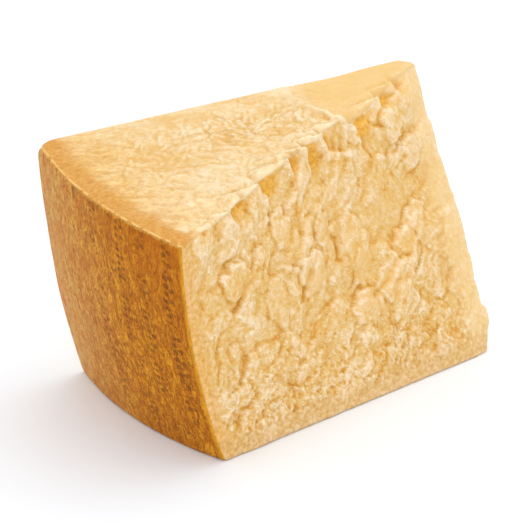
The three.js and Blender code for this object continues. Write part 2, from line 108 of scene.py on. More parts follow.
# Under the near top ridge it is calm only toward the tip, which begins over these distances.
NEAR_RIM_BAND = ((2, 11), 0.3)
NEAR_RIM_FROM = (112, 128)
# Their bounds wander. Each wander is a size and an amount.
BAND_WANDER = (9, 4)

# Ledges across the near face: the path as (distance from the rind, height), how high the ledge stands,
# how far it fades and where it begins.
LEDGES = (
    (((70, 25), (87, 38), (106, 43), (122, 53), (146, 62), (175, 60)), 1.4, 15, (82, 92)),
    (((40, 40), (56, 62), (67, 77), (94, 95), (99, 105), (110, 118)), 1.3, 15, (52, 62)),
    (((66, 80), (72, 97), (79, 118)), 1.2, 10, (66, 70)),
)
LEDGE_WANDER = (10, 5)
# Over what distances below its line a ledge steps out, the share that turns a height below the
# slanting line into a distance from it, and how far the wander shifts the line down.
LEDGE_STEP = (-1.6, 1.0)
LEDGE_FALL = 0.7
LEDGE_SHIFT = 1.5

# Large plates that stand out of the near face: the middle as distance from the rind and height,
# half the size each way, and how far the upper side toward the rind lifts.
PLATES = (
    (136.5, 63.5, 7.5, 6.5, 1.3),
    (126, 57, 6.5, 6, 1.3),
    (113, 44, 12.5, 9.5, 1.9),
    (95, 38.5, 9, 7.5, 1.6),
    (93.5, 68, 5.5, 11, 1.1),
    (96.5, 54.5, 6, 9, 1.2),
    (79, 75, 5, 8, 1.0),
    (68.5, 61.5, 8, 9.5, 1.7),
    (57, 83, 6, 8.5, 1.2),
    (46, 57, 5.5, 10, 1.1),
    (28, 72, 8.5, 8, 1.5),
)
# A plate ends between these shares of its half size, along a scalloped line that wanders.
PLATE_EDGE = (0.88, 1.04)
SCALLOPS = 7
SCALLOP_DEPTH = 0.07
PLATE_WANDER = (4.5, 0.24)
# The least share of its lift that a plate has, where across it the rest comes in, and the share
# that the paste's own relief loses there.
PLATE_LEAST = 0.15
PLATE_LIFT = (-1.8, 0.7)
PLATE_CALM = 0.3

# The smooth pool between the two long ledges: distance from the rind and height, reach each way,
# and the share that the relief loses in it.
POOL_PLACE = (116, 70)
POOL_REACH = (14, 12)
POOL_CALM = 0.75

# Bites out of the near top ridge: where each drops, over what run it recovers, its depth, and how
# far down the near face it reaches.
BITES = (
    (32, 18, 3.2, 16),
    (52, 17, 4.4, 18),
    (70.5, 9, 5.0, 11),
    (81, 10, 4.6, 20),
    (92.5, 10, 3.0, 10),
    (111.5, 18, 5.6, 20),
    (133.5, 9, 3.4, 12),
    (145, 8, 2.0, 10),
)
# Over this distance a bite drops.
BITE_SHARP = 2
# They lean toward the tip as they go down, and a wander sets in over the first few millimetres.
BITE_LEAN = 0.24
BITE_WANDER = (7, 3)
BITE_WANDER_FROM = (0, 8)
# On the top they are shallower and run back toward the rind, like tiles.
BITE_TOP_SHARE = 0.5
BITE_TOP_REACH = 7
BITE_BACK = 2

# The cut top: a lip along the near ridge, which begins and ends over these distances, its height
# and its reach from the ridge.
LIP_FROM = (38, 60)
LIP_TO = (100, 110)
LIP_HIGH = 2.2
LIP_REACH = 7
# One step down toward the tip with a raised rim. It recovers toward the tip and fades across.
STEP_AT = (105, 108)
STEP_DROP = 3.4
STEP_RECOVER = (112, 150)
STEP_ACROSS = (10, 38)
STEP_FADE = 0.9
STEP_WANDER = (12, 2.5)
STEP_RIM_AT = 103.5
STEP_RIM_WIDTH = 2
STEP_RIM_HIGH = 1.4
# A shallow hollow with craggier paste in it.
HOLLOW_AT = (76, 8)
HOLLOW_REACH = (18, 12)
HOLLOW_DEPTH = 1.8
HOLLOW_CRAGGIER = 2.2
# The top's calm bands, and the depths of its waves and of each row of shells.
TOP_RIND_BAND = ((8, 18), 0.15)
TOP_RIM_BAND = ((4, 20), 0.1)
TOP_DEPTHS = (0.7, 0.7, 0.5, 0.5, 0.2)
# Toward the tip the top is smoother: this share of the relief is left beyond these distances.
TOP_TIP_CALM = (104, 114)
TOP_TIP_LEFT = 0.35

# The tip end swells at mid height: where, over what reach and how far. Below a small jog it has a
# foot, which draws in toward the base: the jog's heights, those of the foot, and how far it is out.
TIP_SWELL = (55, 30, 1.8)
FOOT_TOP = (17, 20)
FOOT_SPREAD = (-3, 15)
FOOT_OUT = (-3.0, 2.0)
# On the near face a share of the swell goes on for this distance. On the tip itself the paste's
# relief has a share of its depth.
TIP_REACH = 12
TIP_SIDE_SHARE = 0.6
TIP_CRAG_SHARE = 0.35

# The rind is only a little wavy: a size and an amount.
RIND_WANDER = (30, 0.5)

# How rough a face counts for its colours: a share of the relief on the top and in the pool, and one
# value for the tip and the rind. Between two faces the nearer one counts by this power of its share.
TOP_ROUGH = 0.5
POOL_ROUGH = 0.5
EVEN_ROUGH = 0.2
ROUGH_POWER = 4
# In the middle of the base no face counts, and the shares add up to this instead of nothing.
LEAST_WEIGHT = 1e-6

# Cells along the length, up the height and across the width. Across the top and the base the count
# halves at each of these shares of the length, as the wedge narrows.
LONG, HIGH, WIDE = 208, 128, 96
HALVE_AT = (0.5, 0.75, 0.9)
# Rounds of averaging that tell what stands out: narrow rims, and the wider swell of the surface.
RIM_ROUNDS = 3
SWELL_ROUNDS = 30
# Just below the ridge a bite isn't yet a pocket: the distances over which it becomes one.
POCKET_FROM = (0, 2)

# The photograph's view: the eye in the wedge's measures, the way it looks, and the lens.
EYE = (-429.3, -623.0, 423.6)
AHEAD = (0.5725, 0.7026, -0.4226)
SENSOR = 36
LENS = 143.18

# The studio in metres: each light's name, place, size and power, and where they aim.
LIGHTS = (("key", (0.3, 0.05, 1.3), 1.1, 4.2), ("fill", (-0.9, -0.9, 0.8), 0.9, 2.4))
LIGHTS_AIM = (0, 0, 0.05)
STUDIO_LIGHT = 0.96
FLOOR_HALF = 4.0
FLOOR_GAP = 0.0003
FLOOR_COLOUR = (0.89, 0.92, 0.955, 1)

# Numbers behind the repeatable chances: the steps of cell and slot, the size of the sine, the steps
# from one cell to the next, and the step from one seed to the next.
CELL_STEP, SLOT_STEP, SINE_SIZE = 12.9898, 78.233, 43758.5453
NEXT_CELL = (1, 57, 113)
SEED_STEP = 1.37
# How much the waves are scaled up, how far apart in place and seed the waves of a curl's three
# coordinates are, and the short step of the shares that gives a face its normal.
WAVE_GAIN = 1.5
CURL_APART = 7.7
CURL_SEED_STEP = 5
SLOPE_STEP = 0.02


def mix(start, end, share):
    """Straight blend: the start plus a share of the way to the end."""
    return start + (end - start) * share


def rise(v, low, high):
    """Smooth rise from 0 to 1 between two values: three t squared less two t cubed."""
    t = np.clip((v - low) / (high - low), 0, 1)
    return t * t * (3 - 2 * t)


def chance(cell, slot):
    """A repeatable fraction for a cell number: the tail of a large sine."""
    v = np.sin(cell * CELL_STEP + slot * SLOT_STEP) * SINE_SIZE
    return v - np.floor(v)


def cell_number(at, seed):
    """One number for a cell: its three counts times fixed steps, plus the seed times its own."""
    return at @ NEXT_CELL + seed * SEED_STEP


def waves(p, seed):
    """Gradient noise: the slopes at the eight corners of a cell, eased together."""
    base = np.floor(p)
    inside = p - base
    ease = inside**3 * (inside * (inside * 6 - 15) + 10)
    total = 0
    for corner in np.ndindex(2, 2, 2):
        cell = cell_number(base + corner, seed)
        slope, weight = 0, 1
        for m in range(3):
            slope = slope + (chance(cell, m + 1) * 2 - 1) * (inside[:, m] - corner[m])
            weight = weight * (ease[:, m] if corner[m] else 1 - ease[:, m])
        total = total + slope * weight
    return total * WAVE_GAIN


def wander(p, rate, feature):
    """How far a feature wanders: its amount times waves of its size."""
    size, amount = rate
    return amount * waves(p / size, WAVE_SEEDS[feature])


def shells(p, lean, sharp, seed):
    """Overlapping shells: a point follows the tilted dome round its nearest scattered centre. Shares
    that fall as the exponential of minus the squared distance ease each dome into the next."""
    base = np.floor(p)
    total, shares = 0, 0
    for step in np.ndindex(3, 3, 3):
        at = base + step - 1
        cell = cell_number(at, seed)
        gap = [p[:, m] - at[:, m] - 0.5 - SHELL_SCATTER * (chance(cell, m + 1) - 0.5) for m in range(3)]
        away = gap[0] ** 2 + gap[1] ** 2 + gap[2] ** 2
        dome = SHELL_UNEVEN * (chance(cell, 4) - 0.5) - SHELL_DOME * away + lean[1] * gap[1]
        dome = dome + (lean[0] + SHELL_TILT * (chance(cell, 5) - 0.5)) * gap[0]
        dome = dome + (lean[2] + SHELL_TILT * (chance(cell, 6) - 0.5)) * gap[2]
        share = np.exp(-sharp * away)
        total = total + share * dome
        shares = shares + share
    return total / shares + SHELL_MEAN


def curl(p, size, amount, seed):
    """Each coordinate pushed along by its own waves, so that outlines curl."""
    pushes = [waves(p / size + CURL_APART * m, seed + CURL_SEED_STEP * m) for m in range(3)]
    return p + amount * np.stack(pushes, -1)


def paste(p, depths):
    """Relief of the paste: waves and four sizes of shells, each times its depth, and the push that
    the largest give to a ledge. They lie on a grid turned to the slant of the ledges and then curled."""
    level, steep = SLANT
    at = np.stack([level * p[:, 2] - steep * p[:, 0], p[:, 1], level * p[:, 0] + steep * p[:, 2]], -1)
    for size, amount, seed in CURLS:
        at = curl(at, size, amount, seed)
    layers = [waves(at / WAVE_SIZE, WAVE_SEEDS["paste"])]
    layers += [shells(at / size, lean, sharp, seed) for size, _, lean, sharp, seed in SHELLS]
    return sum(depth * layer for depth, layer in zip(depths, layers)), LEDGE_PUSH * layers[1]


def block(along, across, up):
    """A point of the smooth wedge: the four upright edges mixed by the three shares,
    less the bow and the barrel bulge of the rind, which fade with the square of the way to the tip."""
    def edge(ends, axis):
        return mix(ends[0][axis], ends[1][axis], up)

    def plan(axis):
        rind = mix(edge(NEAR_RIND_EDGE, axis), edge(FAR_RIND_EDGE, axis), across)
        tip = mix(edge(NEAR_TIP_EDGE, axis), edge(FAR_TIP_EDGE, axis), across)
        return mix(rind, tip, along)

    bow = mix(*BOW, up) * 4 * across * (1 - across)
    bulge = mix(*BULGE, across) * 4 * up * (1 - up)
    height = mix(mix(NEAR_RIND_HEIGHT, FAR_RIND_HEIGHT, across), TIP_HEIGHT, along)
    return np.stack([plan(0) - (bow + bulge) * (1 - along) ** 2, plan(1), height * up], -1)


def width_at(along):
    """Nominal width at a share of the length: a straight blend from the rind to the tip."""
    return mix(SPAN_WIDTH_RIND, SPAN_WIDTH_TIP, along)


# Each face: which share is fixed, its value, and the turn that makes the normal face out.
FACES = {"near": (1, 0, 1), "far": (1, 1, -1), "rind": (0, 0, -1), "tip": (0, 1, 1), "top": (2, 1, 1)}


def outward(face, place):
    """Unit normal of a face of the smooth wedge: the cross product of two short steps on it."""
    fixed, value, turn = FACES[face]
    steps = []
    for share in (m for m in range(3) if m != fixed):
        low, high = place.copy(), place.copy()
        low[:, fixed] = high[:, fixed] = value
        low[:, share] = np.maximum(0, place[:, share] - SLOPE_STEP)
        high[:, share] = np.minimum(1, place[:, share] + SLOPE_STEP)
        steps.append(block(*high.T) - block(*low.T))
    normal = turn * np.cross(*steps)
    return normal / np.linalg.norm(normal, axis=1, keepdims=True)


def band_share(band, distance):
    """The share of the relief at a distance from the edge that a calm band follows."""
    ends, left = band
    return mix(left, 1, rise(distance, *ends))


def craggy(p, from_rind):
    """How rough the paste is: dense and calm beside the rind, along the base and down the tip,
    with bounds that wander by slow waves."""
    off = wander(p, BAND_WANDER, "band")
    rind = band_share(RIND_BAND, from_rind + off)
    base = band_share(BASE_BAND, p[:, 2] + off)
    return rind * base * band_share(TIP_BAND, SPAN_LENGTH - from_rind + off)


def broken_depths(height):
    """Depths of the relief on a broken face: each times a share that changes low down."""
    low = 1 - rise(height, *LOW_DOWN)
    depths = (WAVE_DEPTH, *(row[1] for row in SHELLS))
    return [depth * mix(*shares, low) for depth, shares in zip(depths, DEPTH_SHARES)]


def tip_swell(height):
    """How far the tip stands out: a bell curve at mid height, and below a jog a foot that draws in
    toward the base."""
    at, reach, out = TIP_SWELL
    foot = mix(*FOOT_OUT, rise(height, *FOOT_SPREAD)) * (1 - rise(height, *FOOT_TOP))
    return out * np.exp(-(((height - at) / reach) ** 2)) + foot


def bite_depth(from_rind, below):
    """How deep the bites cut: each drops over a short smooth rise, recovers over its run and fades
    away below."""
    total = 0
    for at, run, depth, fall in BITES:
        bite = rise(from_rind, at - BITE_SHARP, at) * (1 - rise(from_rind, at, at + run))
        total = total + depth * bite * (1 - rise(below, 0, fall))
    return total


def near_bites(along, up):
    """The bites on the near face: they lean toward the tip and wander by waves as they go down."""
    from_top = (1 - up) * SPAN_HEIGHT
    off = wander(block(along, 0 * up, up), BITE_WANDER, "bite") * rise(from_top, *BITE_WANDER_FROM)
    return bite_depth(along * SPAN_LENGTH - BITE_LEAN * from_top + off, from_top)


def plates_at(p, from_rind):
    """Large plates: ellipses whose edge is scalloped by a cosine of the angle and wanders by waves,
    lifted toward the upper rind side. Gives the lift and how much of a plate is there."""
    off_edge = wander(p, PLATE_WANDER, "plate")
    lift, cover = np.zeros(len(p)), np.zeros(len(p))
    for x, z, half_x, half_z, high in PLATES:
        u, v = (from_rind - x) / half_x, (p[:, 2] - z) / half_z
        off = np.hypot(u, v) * (1 + SCALLOP_DEPTH * np.cos(SCALLOPS * np.arctan2(v, u) + x))
        inside = 1 - rise(off + off_edge, *PLATE_EDGE)
        lift = np.maximum(lift, high * inside * mix(PLATE_LEAST, 1, rise(v - u, *PLATE_LIFT)))
        cover = np.maximum(cover, inside)
    return lift, cover


def bell(x, y, middle, reach):
    """A bell-shaped share round a middle: the exponential of minus the squared distances."""
    return np.exp(-(((x - middle[0]) / reach[0]) ** 2) - ((y - middle[1]) / reach[1]) ** 2)


def near_relief(along, across, up):
    """Near broken face: paste relief, plus three ledges that step up below a slanting line and fade,
    plus the large plates, calmed in the pool, less the bites in the ridge."""
    p = block(along, 0 * up, up)
    from_rind = along * SPAN_LENGTH
    height, push = paste(p, broken_depths(p[:, 2]))
    wobble = wander(p, LEDGE_WANDER, "ledge") + push
    lift, cover = plates_at(p, from_rind)
    height = height * (1 - PLATE_CALM * cover) + lift
    for path, high, run, start in LEDGES:
        line = np.interp(from_rind + wobble, *zip(*path))
        below = LEDGE_FALL * (line - p[:, 2] - LEDGE_SHIFT * wobble)
        step = rise(below, *LEDGE_STEP) * rise(from_rind, *start)
        height = height + high * step * np.exp(-((np.maximum(below, 0) / run) ** 2))
    pool = bell(from_rind, p[:, 2], POOL_PLACE, POOL_REACH)
    rim = mix(1, band_share(NEAR_RIM_BAND, (1 - up) * SPAN_HEIGHT), rise(from_rind, *NEAR_RIM_FROM))
    rough = rim * craggy(p, from_rind)
    height = height * (1 - POOL_CALM * pool) * rough
    beside_tip = 1 - rise(SPAN_LENGTH - from_rind, 0, TIP_REACH)
    height = height + TIP_SIDE_SHARE * tip_swell(p[:, 2]) * beside_tip - near_bites(along, up)
    return height, rough * (1 - POOL_ROUGH * pool)


def far_relief(along, across, up):
    """Far broken face: the same paste relief, calmer along its top rim."""
    p = block(along, 0 * up + 1, up)
    height, _ = paste(p, broken_depths(p[:, 2]))
    rough = band_share(FAR_RIM_BAND, (1 - up) * SPAN_HEIGHT) * craggy(p, along * SPAN_LENGTH)
    return height * rough, rough


def tip_relief(along, across, up):
    """Narrow tip: a share of the paste relief on its swell."""
    p = block(0 * up + 1, across, up)
    height, _ = paste(p, broken_depths(p[:, 2]))
    return height * TIP_CRAG_SHARE + tip_swell(p[:, 2]), 0 * up + EVEN_ROUGH


def top_relief(along, across, up):
    """Cut top: shallow paste relief, a lip that fades away from the near ridge, a step down toward
    the tip with a raised rim, which a smooth rise takes back, a bell-shaped hollow and the bites."""
    p = block(along, across, 0 * up + 1)
    from_rind = along * SPAN_LENGTH
    from_near = across * width_at(along)
    calm = band_share(TOP_RIND_BAND, from_rind) * band_share(TOP_RIM_BAND, (1 - across) * width_at(along))
    height, push = paste(p, TOP_DEPTHS)
    lip = LIP_HIGH * rise(from_rind, *LIP_FROM) * (1 - rise(from_rind, *LIP_TO))
    step_at = from_rind + wander(p, STEP_WANDER, "step") + push
    left = 1 - STEP_FADE * rise(from_near, *STEP_ACROSS)
    step = STEP_DROP * left * rise(step_at, *STEP_AT) * (1 - rise(from_rind, *STEP_RECOVER))
    rim = STEP_RIM_HIGH * np.exp(-(((step_at - STEP_RIM_AT) / STEP_RIM_WIDTH) ** 2)) * left
    hollow = bell(p[:, 0], p[:, 1], HOLLOW_AT, HOLLOW_REACH)
    rough = calm * mix(1, TOP_TIP_LEFT, rise(from_rind, *TOP_TIP_CALM)) * (1 + HOLLOW_CRAGGIER * hollow)
    bite = BITE_TOP_SHARE * bite_depth(from_rind + BITE_BACK * from_near, 0)
    bite = bite * np.exp(-((from_near / BITE_TOP_REACH) ** 2))
    height = height * rough + lip * np.exp(-from_near / LIP_REACH) + rim - step - HOLLOW_DEPTH * hollow - bite
    return height, TOP_ROUGH * rough


def rind_relief(along, across, up):
    """Rind: slow waves only."""
    return wander(block(0 * up, across, up), RIND_WANDER, "rind"), 0 * up + EVEN_ROUGH


RELIEF = {"near": near_relief, "far": far_relief, "rind": rind_relief, "tip": tip_relief, "top": top_relief}


def rounding(gaps, up):
    """How far each face is drawn in at its edges: the square of one less the gap over the round."""
    def soft(gap, reach):
        return np.maximum(0, 1 - gap / reach) ** 2

    def pair(one, two, reach):
        return ROUND_SHARE * reach * soft(gaps[one], reach) * soft(gaps[two], reach)

    near_top = pair("near", "top", BROKEN_EDGE_ROUND)
    far_top = pair("far", "top", BROKEN_EDGE_ROUND)
    rind_top = pair("rind", "top", RIND_EDGE_ROUND)
    rind_near = pair("rind", "near", RIND_EDGE_ROUND)
    rind_far = pair("rind", "far", RIND_EDGE_ROUND)
    corner = pair("rind", "far", FAR_CORNER_ROUND) * soft(gaps["top"], FAR_CORNER_ROUND)
    base = ROUND_SHARE * BASE_EDGE_ROUND * soft(up * SPAN_HEIGHT, BASE_EDGE_ROUND)
    return {
        "near": near_top + rind_near + base,
        "far": far_top + rind_far + corner + base,
        "rind": rind_top + rind_near + rind_far + corner / 2 + base,
        "tip": base,
        "top": near_top + far_top + rind_top + corner,
    }


def surface(place):
    """The finished skin: the smooth wedge, moved along each face's normal by that face's relief.
    A face's share of the move falls smoothly to nothing with the gap from that face."""
    along, across, up = place.T
    width = width_at(along)
    gaps = {
        "near": across * width,
        "far": (1 - across) * width,
        "rind": along * SPAN_LENGTH,
        "tip": (1 - along) * SPAN_LENGTH,
        "top": (1 - up) * SPAN_HEIGHT,
    }
    inset = rounding(gaps, up)
    move = np.zeros_like(place)
    rough = np.zeros(len(place))
    weights = np.full(len(place), LEAST_WEIGHT)
    for face in FACES:
        share = 1 - rise(gaps[face], 0, np.minimum(RELIEF_REACH, width))
        close = np.nonzero(share > 0)[0]
        height, rough_here = RELIEF[face](*place[close].T)
        out = outward(face, place[close])
        move[close] += out * (share[close] * height - inset[face][close])[:, None]
        rough[close] += rough_here * share[close] ** ROUGH_POWER
        weights[close] += share[close] ** ROUGH_POWER
    p = block(along, across, up)
    p[:, :2] += move[:, :2]
    p[:, 2] = np.maximum(0, p[:, 2] + move[:, 2] * rise(up * SPAN_HEIGHT, 0, FLAT_BASE_REACH))
    return p, rough / weights


def grid_faces(rows, columns, flip):
    """Corner numbers of the quads of a grid whose points run row by row."""
    start = (np.arange(rows - 1)[:, None] * columns + np.arange(columns - 1)).ravel()
    quads = np.stack([start, start + 1, start + columns + 1, start + columns], -1)
    return quads[:, ::-1] if flip else quads


def side_patch(fixed, value, first, second, flip):
    """A face of the block as a grid of two shares, the third being fixed."""
    one, two = np.meshgrid(first, second, indexing="ij")
    shares = [one.ravel(), two.ravel()]
    shares.insert(fixed, np.full(one.size, float(value)))
    return np.stack(shares, -1), grid_faces(len(first), len(second), flip)


def wide_at(column):
    """Cells across the top or the base at a column along it."""
    return WIDE // 2 ** sum(column / LONG >= share for share in HALVE_AT)


def level_patch(value, flip):
    """Top or base: strips across the wedge. Where it narrows the count halves, and each coarse cell
    beside two fine ones becomes three triangles."""
    points, quads, triangles, start = [], [], [], []
    for i in range(LONG + 1):
        across = np.linspace(0, 1, wide_at(i) + 1)
        start.append(sum(len(p) for p in points))
        strip = [np.full(len(across), i / LONG), across, np.full(len(across), float(value))]
        points.append(np.stack(strip, -1))
    for i in range(LONG):
        fine, coarse = wide_at(i), wide_at(i + 1)
        right = start[i + 1] + np.arange(coarse)
        left = start[i] + np.arange(coarse) * (fine // coarse)
        if fine == coarse:
            quads.append(np.stack([left, right, right + 1, left + 1], -1))
        else:
            triangles.append(np.stack([left, right, left + 1], -1))
            triangles.append(np.stack([left + 1, right, right + 1], -1))
            triangles.append(np.stack([left + 1, right + 1, left + 2], -1))
    quads, triangles = np.concatenate(quads), np.concatenate(triangles)
    if flip:
        quads, triangles = quads[:, ::-1], triangles[:, ::-1]
    return np.concatenate(points), quads, triangles


def wedge_mesh():
    """The whole closed skin: six patches, welded where their shares agree. Gives the shares of every
    point, the quads, the triangles, and which of the two materials each face has."""
    longs, highs, wides = (np.linspace(0, 1, n + 1) for n in (LONG, HIGH, WIDE))
    tips = np.linspace(0, 1, wide_at(LONG) + 1)
    none = np.zeros((0, 3), int)
    patches = [
        (*side_patch(1, 0, longs, highs, True), none, 0),
        (*side_patch(1, 1, longs, highs, False), none, 0),
        (*side_patch(0, 0, wides, highs, False), none, 1),
        (*side_patch(0, 1, tips, highs, True), none, 0),
        (*level_patch(1, False), 0),
        (*level_patch(0, True), 1),
    ]
    places, quads, triangles, quad_kind, triangle_kind, count = [], [], [], [], [], 0
    for place, quad, triangle, kind in patches:
        places.append(place)
        quads.append(quad + count)
        triangles.append(triangle + count)
        quad_kind.append(np.full(len(quad), kind))
        triangle_kind.append(np.full(len(triangle), kind))
        count += len(place)
    stacked = np.concatenate(places)
    millionths = np.round(stacked * 1e6).astype(int)
    _, first, weld = np.unique(millionths, axis=0, return_index=True, return_inverse=True)
    weld = weld.ravel()
    quads = weld[np.concatenate(quads)]
    triangles = weld[np.concatenate(triangles)]
    kinds = np.concatenate(quad_kind + triangle_kind)
    return stacked[first], quads, triangles, kinds


def crests(points, normals, ends, rounds):
    """How far each point stands above its surroundings: the point less its place after rounds of
    averaging with its neighbours, measured along the normal."""
    count = len(points)
    degree = np.bincount(ends.ravel(), minlength=count)[:, None] + 1
    mean = points
    for _ in range(rounds):
        gather = [np.bincount(ends[:, 0], mean[ends[:, 1], m], count) for m in range(3)]
        scatter = [np.bincount(ends[:, 1], mean[ends[:, 0], m], count) for m in range(3)]
        mean = (mean + np.stack(gather, -1) + np.stack(scatter, -1)) / degree
    return ((points - mean) * normals).sum(axis=1)


def wedge_measures(place, points, rough, normals, ends):
    """What the materials read at every point of the skin."""
    along, across, up = place.T
    from_rind = along * SPAN_LENGTH
    on_near = across == 0
    _, cover = plates_at(block(along, 0 * across, up), from_rind)
    return {
        "rim": crests(points, normals, ends, RIM_ROUNDS),
        "swell": crests(points, normals, ends, SWELL_ROUNDS),
        "rough": rough,
        "pocket": near_bites(along, up) * on_near * rise((1 - up) * SPAN_HEIGHT, *POCKET_FROM),
        "plate": cover * on_near,
        "from_rind": from_rind,
        "from_near": across * width_at(along),
        "height": up * SPAN_HEIGHT,
    }


def add_wedge():
    """The wedge as one mesh, with its measures as attributes and the paste and rind on it."""
    place, quads, triangles, kinds = wedge_mesh()
    points, rough = surface(place)
    points = points - (*MIDDLE, 0)
    mesh = bpy.data.meshes.new("cheese wedge")
    loops = np.concatenate([quads.ravel(), triangles.ravel()]).astype(np.int32)
    sizes = np.concatenate([np.full(len(quads), 4), np.full(len(triangles), 3)]).astype(np.int32)
    mesh.vertices.add(len(points))
    mesh.vertices.foreach_set("co", (points * MM).astype(np.float32).ravel())
    mesh.loops.add(len(loops))
    mesh.loops.foreach_set("vertex_index", loops)
    mesh.polygons.add(len(sizes))
    mesh.polygons.foreach_set("loop_start", (np.cumsum(sizes) - sizes).astype(np.int32))
    mesh.polygons.foreach_set("material_index", kinds.astype(np.int32))
    mesh.update(calc_edges=True)
    mesh.validate()
    mesh.shade_smooth()
    ends = np.empty(len(mesh.edges) * 2, np.int32)
    mesh.edges.foreach_get("vertices", ends)
    normals = np.empty(len(points) * 3, np.float32)
    mesh.vertex_normals.foreach_get("vector", normals)
    measures = wedge_measures(place, points, rough, normals.reshape(-1, 3), ends.reshape(-1, 2))
    for name, values in measures.items():
        layer = mesh.attributes.new(name, "FLOAT", "POINT")
        layer.data.foreach_set("value", values.astype(np.float32))
    piece = bpy.data.objects.new("cheese_wedge_skin", mesh)
    bpy.context.collection.objects.link(piece)
    mesh.materials.append(paste_material())
    mesh.materials.append(rind_material())
    return piece


class Flow:
    """One output socket of a material's nodes, with arithmetic."""

    def __init__(self, tree, socket):
        self.tree = tree
        self.socket = socket

    def node(self, kind, settings=None, output=0, **values):
        """Add a node of a kind, with its settings and its inputs by name: numbers, colours or flows."""
        made = self.tree.nodes.new(kind)
        for name, value in (settings or {}).items():
            setattr(made, name, value)
        for name, value in values.items():
            key = int(name[1:]) if name[0] == "i" and name[1:].isdigit() else name.replace("_", " ")
            target = made.inputs[key]
            if isinstance(value, Flow):
                self.tree.links.new(value.socket, target)
            else:
                target.default_value = value
        return Flow(self.tree, made.outputs[output])

    def maths(self, operation, first, second=0.0):
        return self.node("ShaderNodeMath", {"operation": operation}, i0=first, i1=second)

    def __add__(self, other):
        return self.maths("ADD", self, other)

    __radd__ = __add__

    def __sub__(self, other):
        return self.maths("SUBTRACT", self, other)

    def __rsub__(self, other):
        return self.maths("SUBTRACT", other, self)

    def __mul__(self, other):
        return self.maths("MULTIPLY", self, other)

    __rmul__ = __mul__

    def __truediv__(self, other):
        return self.maths("DIVIDE", self, other)

    def __rtruediv__(self, other):
        return self.maths("DIVIDE", other, self)

    def fraction(self):
        return self.maths("FRACT", self)

    def larger(self, other):
        return self.maths("MAXIMUM", self, other)

    def between(self, low, high):
        """Smooth rise from 0 to 1 as this goes from low to high."""
        settings = {"interpolation_type": "SMOOTHSTEP"}
        return self.node("ShaderNodeMapRange", settings, Value=self, From_Min=low, From_Max=high)

    def blend(self, start, end):
        """The colour start where this is 0 and end where it is 1."""
        settings = {"data_type": "RGBA", "clamp_factor": True}
        return self.node("ShaderNodeMix", settings, output=2, i0=self, i6=start, i7=end)

    def stepped(self, colour, steps):
        """A colour that turns into the next one over each range that this rises through."""
        for low, high, tint in steps:
            colour = self.between(low, high).blend(colour, tint)
        return colour

    def grained(self, dark, pale):
        """Dark where this noise is low and pale where it is high."""
        return self.between(0.3, 0.7).blend(dark, pale)

    def place(self):
        """The position on the piece, in metres."""
        return self.node("ShaderNodeTexCoord", output=3)

    def measure(self, name):
        """One of the measures that the mesh carries."""
        return self.node("ShaderNodeAttribute", {"attribute_name": name}, output=2)

    def stretch(self, x, y, z):
        return self.node("ShaderNodeVectorMath", {"operation": "MULTIPLY"}, i0=self, i1=(x, y, z))

    def turned(self, angle, axis):
        """This position turned about an axis."""
        return self.node("ShaderNodeVectorRotate", {"rotation_type": axis}, Vector=self, Angle=angle)

    def mottle(self, scale, detail=2.0, roughness=0.5, distortion=0.0):
        """Noise about 0.5 at this position."""
        return self.node("ShaderNodeTexNoise", None, Vector=self, Scale=scale, Detail=detail,
                         Roughness=roughness, Distortion=distortion)

    def upright(self, squash, *noise):
        """Noise drawn out upright, because this position's height is squashed."""
        return self.stretch(1, 1, squash).mottle(*noise)

    def flakes(self, scale, count):
        """Stacked flakes: noise cut into steps. Gives the pale rims, a painted highlight, the dark feet,
        a painted shade, and the steps.
        """
        step = (self.mottle(scale, *FLAKE_NOISE) * count).fraction()
        return step.between(*FLAKE_RIM), 1 - step.between(*FLAKE_FOOT), step

    def patches(self, scale, low, high, detail=2.0):
        """Soft patches where the noise at this position is high."""
        return self.mottle(scale, detail).between(low, high)

    def dots(self, scale, low, high):
        """Soft dots round scattered points, which end between two distances in cells."""
        away = self.node("ShaderNodeTexVoronoi", None, Vector=self, Scale=scale)
        return 1 - away.between(low, high)


def srgb(red, green, blue):
    """A colour given as on a screen, 0 to 255, as linear light."""
    def linear(v):
        v = v / 255
        return v / 12.92 if v <= 0.04045 else ((v + 0.055) / 1.055) ** 2.4

    return (linear(red), linear(green), linear(blue), 1.0)


def start_material(name, **fixed):
    """A new material with its shader's fixed sockets set, the shader, and the flow its nodes start from."""
    material = bpy.data.materials.new(name)
    material.use_nodes = True
    tree = material.node_tree
    shader = next(n for n in tree.nodes if n.type == "BSDF_PRINCIPLED")
    for socket, value in fixed.items():
        shader.inputs[socket.replace("_", " ")].default_value = value
    return material, shader, Flow(tree, None)


def plug(flow, shader, **inputs):
    """Link flows to a shader's sockets by name."""
    for name, value in inputs.items():
        flow.tree.links.new(value.socket, shader.inputs[name.replace("_", " ")])


# Colours of the broken paste, from painted shade in its hollows up to painted highlight on its crests.
HOLLOW = srgb(218, 156, 56)
SHADE = srgb(228, 186, 110)
STRAW = srgb(234, 201, 149)
CREAM = srgb(246, 226, 194)
PASTE_STEPS = ((0.1, 0.4, SHADE), (0.36, 0.58, STRAW), (0.52, 0.85, CREAM))
# Painted shade, in gold, in the gaps between shells and in small pits.
GAP_SHADE_GOLD = srgb(206, 140, 44)
# Painted golden glow and shade in the low parts of the large plates.
PLATE_GOLD = srgb(236, 190, 112)
CRUMB = srgb(246, 230, 198)
TIP_CREAM = srgb(246, 217, 164)
# Each a dark and a pale colour: painted shade in pockets under the ridge, dense paste beside the rind,
# and the base.
AMBER_SHADE = (srgb(214, 146, 10), srgb(240, 188, 66))
DENSE = (srgb(212, 150, 52), srgb(236, 184, 96))
BASE_GRAIN = (srgb(204, 156, 86), srgb(232, 196, 138))
